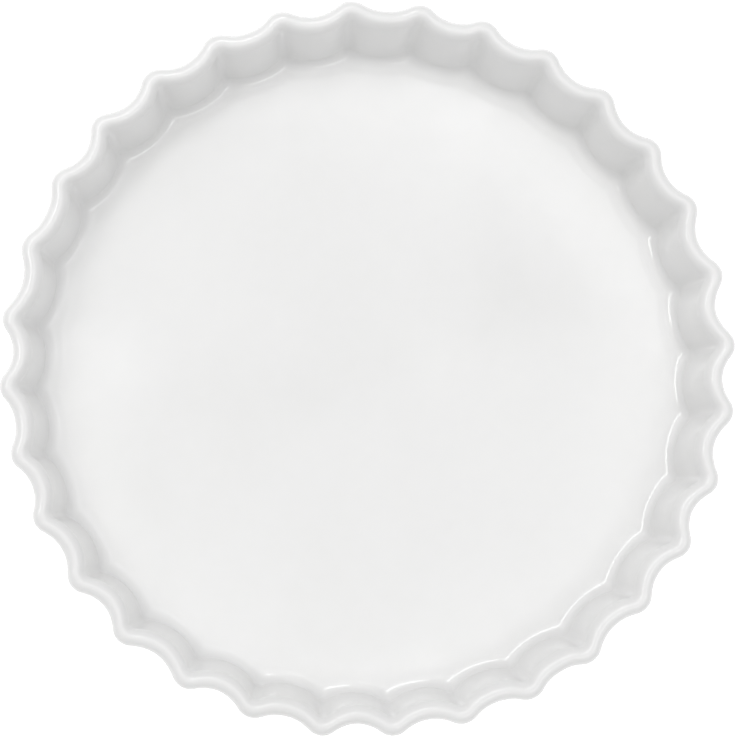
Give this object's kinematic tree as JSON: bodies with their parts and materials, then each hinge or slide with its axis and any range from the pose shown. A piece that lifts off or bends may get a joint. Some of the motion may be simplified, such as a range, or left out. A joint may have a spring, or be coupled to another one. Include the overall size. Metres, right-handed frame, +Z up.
{
  "type": "quiche dish",
  "caption": "Round shallow fluted quiche dish in white glazed porcelain, with a scalloped wall, a rounded lip, a flat baking floor and a bare foot ring.",
  "frame": {"origin": "on the table at the centre of the foot ring", "axes": "+Z up out of the dish's open side, +X through the ridge of one flute"},
  "size_m": [0.28, 0.28, 0.04],
  "materials": {
    "porcelain_body": "matte",
    "glaze": "gloss"
  },
  "bodies": {
    "root": {"ceramic_body": "porcelain_body", "glaze_coat": "glaze", "base_glaze": "glaze"}
  },
  "joints": []
}
